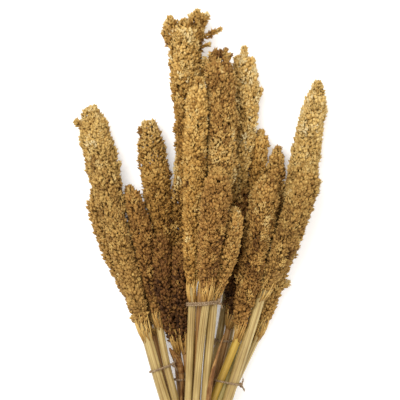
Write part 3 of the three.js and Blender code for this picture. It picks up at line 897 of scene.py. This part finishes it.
for name in stalk_names:
    finish, stops, openness, point = looks[name]
    rng = seeded(name)
    reach = reaches[name]
    tone = paleness(stops)
    outer, heart = Shape(), Shape()
    top = TOP_CUTS.get(name, 1.0)
    stand = FULLNESS.get(name, 0) * MM
    cover(outer, reach, tone, rng, low=0.035, high=top, openness=openness, stand=stand, point=point)
    grow_rachis(heart, reach.line, stem_lines[name].radii[-1])
    grow_feet(heart, reach, stem_lines[name], rng)
    grow_branches(heart, reach, rng, min(top, 0.985))
    fill_inside(heart, reach, tone, rng, min(top, INNER_TOPS.get(name, 0.93)))
    for head, *shoot in shoots:
        if head == name:
            grow_shoot(outer, heart, reach.line, tone, rng, *shoot)
    outer.make("head_" + name, grain_finishes[finish], finish, "head_" + name)
    heart.make("head_" + name + "_heart", grain_finishes[finish], finish, "head_" + name)

# %% [markdown]
# ## What a cane looks like
# A dry sorghum stem is a smooth cane, straw yellow with darker lines along it, and greener or yellower where
# it was shaded or old. The brown cane is partly the stems' own browner colour and partly painted shade.
# Streaks, freckles and slow changes along it are each a stretched noise. The cut end shows its pale pith.

# %% Cane finish


def cane_finish(name, pale, deep, fleck):
    nodes = Nodes(name, roughness=0.46, gloss=0.4)
    streaks = nodes.mottle(11, 2, detail=6)
    between = tuple((a + 2 * b) / 3 for a, b in zip(deep, pale))
    colour = nodes.ramp(streaks, [(0.34, deep), (0.47, between), (0.62, pale)])
    spots = nodes.ramp(nodes.mottle(9, 60, detail=4), [(0.6, (0, 0, 0)), (0.74, (1, 1, 1))])
    colour = nodes.blend(nodes.maths("MULTIPLY", spots, 0.45), colour, linear(*fleck))
    lengthwise = nodes.ramp(nodes.mottle(1.3, 7), [(0.3, (0.84, 0.8, 0.72)), (0.62, (1, 1, 1))])
    colour = nodes.blend(1.0, colour, lengthwise, "MULTIPLY")
    pith = nodes.ramp(nodes.v, [(0.004, (1, 1, 1)), (0.008, (0, 0, 0))])
    colour = nodes.blend(pith, colour, linear(0.87, 0.8, 0.62))
    nodes.rough_up(nodes.mottle(70, 4, detail=4), 0.35, 0.3 * MM)
    return nodes.done(colour)


# name of the finish: pale, deep and fleck colours
cane_finishes = {
    "straw": cane_finish("straw cane", (0.75, 0.66, 0.43), (0.52, 0.4, 0.2), (0.4, 0.27, 0.12)),
    "yellow": cane_finish("yellow cane", (0.74, 0.61, 0.24), (0.6, 0.46, 0.13), (0.44, 0.3, 0.1)),
    # the brown cane's darkness is partly the stems' own colour and partly painted shade
    "brown": cane_finish("brown cane", (0.66, 0.5, 0.28), (0.44, 0.29, 0.13), (0.32, 0.19, 0.08)),
    "green": cane_finish("green straw cane", (0.77, 0.71, 0.46), (0.58, 0.52, 0.29), (0.42, 0.33, 0.16)),
}
print("cane finishes:", list(cane_finishes))

# %% [markdown]
# ## Stems
# A swollen joint sits where a leaf grew. The cane is swept along the frame's midline with shallow ribs, a
# little fuller than the frame's rod, because the frame leaves a small gap round each. It runs on a little
# way into its head and thins there, so no cut top shows between the lowest branches.

# %% Stems
# the stems given the brown cane are darker partly by their own colour and partly as painted shade
cane_colours = {
    "right_inner": "yellow", "right_small": "green", "back_left_short": "brown",
    "back_left_stub": "brown", "back_left_leaning": "brown", "back_right_deep": "brown",
    "middle_dark": "brown", "left_under": "brown",
}
# where each stem has a joint, as a share of its length
joints = {"middle_front": [0.43], "left_outer": [0.2], "back_right_bright": [0.12], "right_front": [0.32],
          "back_left_tall": [0.3], "middle_dark": [0.08], "left_under": [0.36]}
STEM_SIDES = 24
RIBS = 9
RING_STEP = 3.2 * MM
JOINT_RINGS = np.array([-4, -2.4, -1.4, -0.7, 0, 0.7, 1.4, 2.4, 4]) * MM
FULLER = 1.1
FULLEST = {"middle_dark": 1.22}  # it lies behind the others of its bunch and closes the gaps between them
INSIDE_HEAD = np.arange(2, 28, 3) * MM
PITH_DEPTH = 1.1 * MM


def joint_swell(off):
    """How much a cane swells at a distance in mm from its joint, with a small waist just below it."""
    return 0.13 * np.exp(-((off / 2.4) ** 2)) - 0.1 * np.exp(-(((off + 1.1) / 0.6) ** 2))


for name in stalk_names:
    bare = stem_lines[name]
    head_line = reaches[name].line
    line = Midline(np.vstack([bare.points, head_line.at(INSIDE_HEAD / head_line.length)]))
    thinning = np.interp(INSIDE_HEAD, [0, 30 * MM], [1, 0.45]) * bare.radii[-1]
    line.radii = np.concatenate([bare.radii, thinning])
    rng = seeded("cane " + name)
    joint_places = joints.get(name, [])
    even = np.linspace(0, 1, int(line.length / RING_STEP))
    shares = np.unique(np.concatenate([even] + [at + JOINT_RINGS / line.length for at in joint_places]))
    radius = FULLEST.get(name, FULLER) * np.interp(shares, line.shares, line.radii)
    for at in joint_places:
        radius = radius * (1 + joint_swell((shares - at) * line.length / MM))
    angles = np.arange(STEM_SIDES) * 2 * math.pi / STEM_SIDES
    phase = rng.uniform(0, 2 * math.pi)
    ribs = 1 + 0.03 * np.sin(RIBS * angles + phase) + 0.02 * np.sin(4 * angles + 2 * phase)
    wander = 1 + 0.02 * np.sin(shares[:, None] * 19 + phase + angles[None])
    points, faces, places = sweep(line.at(shares), radius[:, None] * ribs[None] * wander, STEM_SIDES)
    points[-2] += line.along(0.0) * PITH_DEPTH  # the pith has shrunk into the cut end
    places[:, 1] = 0.01 + 0.98 * places[:, 1]
    places[-2, 1] = 0.0  # the finish paints the pith there
    stem = Shape()
    stem.add(points, faces, places)
    slot = "yellow_stem" if name == "right_inner" else "dry_stem"
    stem.make("stem_" + name, cane_finishes[cane_colours.get(name, "straw")], slot, "stem_" + name)

# %% [markdown]
# ## Twine
# The ties are two-ply natural twine. A tube with a striped texture would do from afar, but the two plies
# that twist round each other make the shadow lines that say twine, so they are swept as real strands.
# Loose fibres stand off them.

# %% Twine finish and its strands
TWINE_RADIUS = 1.2 * MM
PLY_PITCH = 6.5 * MM
PLY_SHARE = 0.56  # a ply's radius, and its distance from the twine's middle, by the twine's radius
HAIR = np.array([0.09, 0.07, 0.05, 0.02]) * MM


def twine_finish():
    nodes = Nodes("grey brown twine", roughness=0.88, gloss=0.15)
    tones = [(0.3, (0.3, 0.22, 0.14)), (0.5, (0.55, 0.45, 0.34)), (0.68, (0.76, 0.67, 0.54))]
    nodes.rough_up(nodes.mottle(7, 220, detail=4), 0.5, 0.2 * MM)
    return nodes.done(nodes.ramp(nodes.mottle(5, 160, detail=5), tones))


def lay_ply(shape, route, radius, rng, sides=7):
    """Two strands that twist round each other along a route."""
    side, other = square_to(route)
    for ply in range(2):
        turn = 2 * math.pi * distances(route) / PLY_PITCH + ply * math.pi
        offset = PLY_SHARE * radius * (np.cos(turn)[:, None] * side + np.sin(turn)[:, None] * other)
        thick = PLY_SHARE * radius * (1 + rng.normal(0, 0.05, len(route)))
        shape.add(*sweep(route + offset, thick, sides))


def hairs(shape, route, rng, spacing=2.2 * MM):
    """Loose fibres that stand off the twine."""
    forward = unit(np.gradient(route, axis=0))
    for pick in rng.integers(1, len(route) - 1, int(distances(route)[-1] / spacing)):
        away = unit(np.cross(forward[pick], rng.normal(size=3)))
        start = route[pick] + away * 0.5 * TWINE_RADIUS
        end = start + away * rng.uniform(1.2, 2.6) * MM + forward[pick] * rng.normal(0, 2.0 * MM)
        bend = (start + end) / 2 + rng.normal(0, 0.5 * MM, 3)
        shape.add(*sweep(arc(start, bend, end, 4), HAIR, 3))


print("the twine is", round(2 * TWINE_RADIUS / MM, 1), "mm thick, a turn in", round(PLY_PITCH / MM, 1), "mm")

# %% [markdown]
# ## The way round the stems
# Pulled tight, a tie takes a rubber band's way: the outline that just holds the stems' round sections at
# that place. The outline is found as the convex hull of circles round the stems, at both edges of the tie,
# and the twine climbs along it from turn to turn.

# %% Find a tie's way
WRAP_PITCH = 4.3 * MM
KNOT_RADIUS = 2.9 * MM
CLEARANCE = 0.2 * MM  # between the canes and the twine
bunches = {
    "left": ["left_outer", "left_under", "left_inner"],
    "back_left": ["back_left_tall", "back_left_leaning", "back_left_short", "back_left_stub"],
    "middle": ["middle_dark", "middle_golden", "middle_front", "middle_side"],
    "back_right": ["back_right_bright", "back_right_loose", "back_right_deep"],
    "right": ["right_outer", "right_front", "right_inner", "right_small"],
    "main": stalk_names,
}
# name: (slant, turns, angle of the knot round the stems)
ties = {
    "left": (0.34, 1, 0.32),
    "back_left": (0.05, 1, 1.2),
    "middle": (0.1, 2, 0.15),
    "back_right": (-0.05, 1, 2.2),
    "right": (-0.2, 1, 0.25),
    "main": (0.04, 3, 1.35),
}


def at_y(line, y):
    return np.array([np.interp(y, line.points[:, 1], line.points[:, i]) for i in range(3)])


def circles_round(lines, knot_x, knot_y, slant, turns):
    """Points on circles round each stem, at both edges of a slanting tie."""
    around = []
    for line in lines:
        for edge in (-1, 1):
            x = at_y(line, knot_y)[0]
            y = knot_y + slant * (x - knot_x) + edge * (WRAP_PITCH * (turns - 1) / 2 + TWINE_RADIUS)
            x, _, z = at_y(line, y)
            radius = FULLER * np.interp(y, line.points[:, 1], line.radii) + CLEARANCE + TWINE_RADIUS
            for a in np.linspace(0, 2 * math.pi, 24, endpoint=False):
                around.append((x + radius * math.cos(a), z + radius * math.sin(a)))
    return around


def round_the_stems(name):
    """The route of a tie from knot to knot, and the knot's place and outward direction."""
    slant, turns, knot_at = ties[name]
    low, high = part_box("twine_" + name)
    knot_y = (low.y + high.y) / 2
    lines = [stem_lines[stalk] for stalk in bunches[name]]
    centre = np.array([at_y(line, knot_y) for line in lines]).mean(0)
    knot_x = high.x - 4 * MM if math.cos(knot_at) > 0.7 else centre[0]
    around = circles_round(lines, knot_x, knot_y, slant, turns)
    outline = np.array([around[i] for i in convex_hull_2d(around)])
    turned = np.arctan2(outline[:, 1] - centre[2], outline[:, 0] - centre[0])
    outline = outline[np.argsort((turned - knot_at) % (2 * math.pi))]
    outline = np.vstack([outline, outline[0]])
    steps = distances(outline)
    turn = np.linspace(0, turns, int(turns * steps[-1] / (0.75 * MM)))
    x, z = (np.interp(turn % 1 * steps[-1], steps, outline[:, i]) for i in range(2))
    climb = (turn / turns - 0.5) * WRAP_PITCH * (turns - 1)
    route = np.stack([x, knot_y + slant * (x - x[0]) + climb, z], -1)
    outward = np.array([math.cos(knot_at), 0, math.sin(knot_at)])
    return route, (route[0] + route[-1]) / 2 + outward * (KNOT_RADIUS - TWINE_RADIUS), outward


print("ties:", {name: len(stalks) for name, stalks in bunches.items()})

# %% [markdown]
# ## Tie them
# Each tie closes with a knot and two short ends. The knot is a trefoil, the simplest way for a line to
# knot itself, pulled longer where the tie has more turns to bridge. The ends fray into single fibres.

# %% Ties
TAIL = 9 * MM
KNOT_SIZE = 0.8 * MM
KNOT_TWINE = 0.85 * TWINE_RADIUS  # pulled thinner by the knot
FRAY = np.array([0.2, 0.16, 0.1, 0.03]) * MM


def trefoil(turns):
    """A trefoil's three coordinates: sideways, lengthwise and outward."""
    t = np.linspace(0, 2 * math.pi, 46)
    loops = [np.sin(t) + 2 * np.sin(2 * t), np.cos(t) - 2 * np.cos(2 * t), -1.3 * np.sin(3 * t)]
    return KNOT_SIZE * np.stack(loops, -1) * np.array([1, 1 + 0.35 * (turns - 1), 1])


twine_cover = twine_finish()
for name in ties:
    rng = seeded("twine " + name)
    route, knot, outward = round_the_stems(name)
    sideways = np.array([-outward[2], 0, outward[0]])
    lengthwise = np.array([0.0, 1.0, 0.0])
    tie = Shape()
    lay_ply(tie, route, TWINE_RADIUS, rng)
    hairs(tie, route, rng)
    knot_route = knot + trefoil(ties[name][1]) @ np.array([sideways, lengthwise, outward])
    lay_ply(tie, knot_route, KNOT_TWINE, rng)
    for side in (1, -1):
        end = knot + TAIL * (0.34 * outward + 0.45 * side * sideways + 0.8 * side * lengthwise)
        bend = knot + TAIL * (0.3 * outward + 0.45 * side * lengthwise)
        tail = arc(knot, bend, end, 16)
        lay_ply(tie, tail, KNOT_TWINE, rng)
        hairs(tie, tail, rng, 1.0 * MM)
        for _ in range(9):
            tip = end + unit(end - bend) * rng.uniform(1, 2.4) * MM + rng.normal(0, 0.9 * MM, 3)
            tie.add(*sweep(arc(end - 0.18 * (end - bend), end, tip, 4), FRAY, 4))
    tie.make("twine_" + name, twine_cover, "twine", "twine_" + name)
    length = distances(route)[-1] + distances(knot_route)[-1] + 2 * 1.3 * TAIL
    print("  its twine is", round(length / MM), "mm long")

# %% [markdown]
# ## Dry leaf sheaths
# Where a leaf wrapped its stem, a brown papery strip is left. It hugs the stem at its foot, opens and
# narrows to a point as it goes up, and leans off. It is made as a thin trough with shallow ribs and torn
# edges, closed all round. A flat sheet with a solidify modifier would need a second bend to hug the stem.

# %% Sheath finish and sheaths
SHEATH_THICK = 0.5 * MM
# node: (stem it grew on, angle it faces, half its width as an angle round the stem,
#        how far its tip leans off, how far it opens from the stem in mm)
sheaths = {
    "leaf_sheath_1": ("middle_side", 0.3, 1.1, 1.1, 1.5),
    "leaf_sheath_2": ("back_right_bright", 2.9, 1.1, 0.9, 0.5),
    "leaf_sheath_3": ("back_left_stub", 2.3, 1.7, 0.7, 4.5),
    "leaf_sheath_4": ("left_inner", -0.1, 1.4, 0.9, 3.6),
}


def sheath_finish():
    nodes = Nodes("papery sheath", roughness=0.66, gloss=0.25)
    tones = [(0.3, (0.38, 0.24, 0.11)), (0.5, (0.58, 0.41, 0.21)), (0.68, (0.76, 0.6, 0.36))]
    colour = nodes.ramp(nodes.mottle(26, 2.5, detail=5), tones)
    blotch = nodes.ramp(nodes.mottle(3, 8), [(0.4, (0.72, 0.64, 0.55)), (0.6, (1, 1, 1))])
    nodes.rough_up(nodes.mottle(60, 3, detail=4), 0.5, 0.3 * MM)
    return nodes.done(nodes.blend(1.0, colour, blotch, "MULTIPLY"))


def trough(line, low_y, high_y, facing, width, lean, flare, rng, rows=40, columns=15):
    """A thin pointed strip that hugs a stem: outer face, inner face and the edges between them."""
    t = np.linspace(0, 1, rows)
    centres = np.array([at_y(line, y) for y in low_y + t * (high_y - low_y)])
    radius = float(line.radii.mean())
    spread = width * (1 - t**1.6) + 0.12
    torn = 1 + np.cumsum(rng.normal(0, 0.02, (rows, 2)), axis=0)
    lean_off = lean * radius * 2 * t**2
    column = np.linspace(-1, 1, columns)
    edge = np.where(column < 0, torn[:, :1], torn[:, 1:])
    angle = facing + spread[:, None] * column[None] * edge
    ribs = 0.1 * MM * np.sin(column * 17)[None]
    off = centres + lean_off[:, None] * np.array([math.cos(facing), 0, math.sin(facing)])
    sheets = []
    inner = radius * FULLER + 0.4 * MM
    for distance in (inner, inner + SHEATH_THICK):
        reach = distance + ribs + flare * t[:, None]
        bent = [reach * np.cos(angle), np.zeros_like(angle), reach * np.sin(angle)]
        sheets.append(off[:, None] + np.stack(bent, -1))
    ring = np.concatenate([sheets[0], sheets[1][:, ::-1]], axis=1)
    sides = 2 * columns
    faces = [wall_faces(rows, sides)]
    top = (rows - 1) * sides
    for here in range(columns - 1):
        over = sides - 1 - here
        foot = np.array([[here, over, here + 1], [here + 1, over, over - 1]])
        faces += [foot, top + foot[:, ::-1]]
    u = np.concatenate([0.02 + 0.46 * (column + 1) / 2, 0.98 - 0.46 * (column + 1) / 2])
    places = np.stack(np.broadcast_arrays(u[None], 0.02 + 0.96 * t[:, None]), -1)
    return ring.reshape(-1, 3), np.concatenate(faces), places.reshape(-1, 2)


sheath_cover = sheath_finish()
for node, (stalk, facing, width, lean, flare) in sheaths.items():
    low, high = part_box(node)
    strip = Shape()
    strip.add(*trough(stem_lines[stalk], low.y, high.y, facing, width, lean, flare * MM, seeded(node)))
    strip.make(node, sheath_cover, "dry_leaf", node)
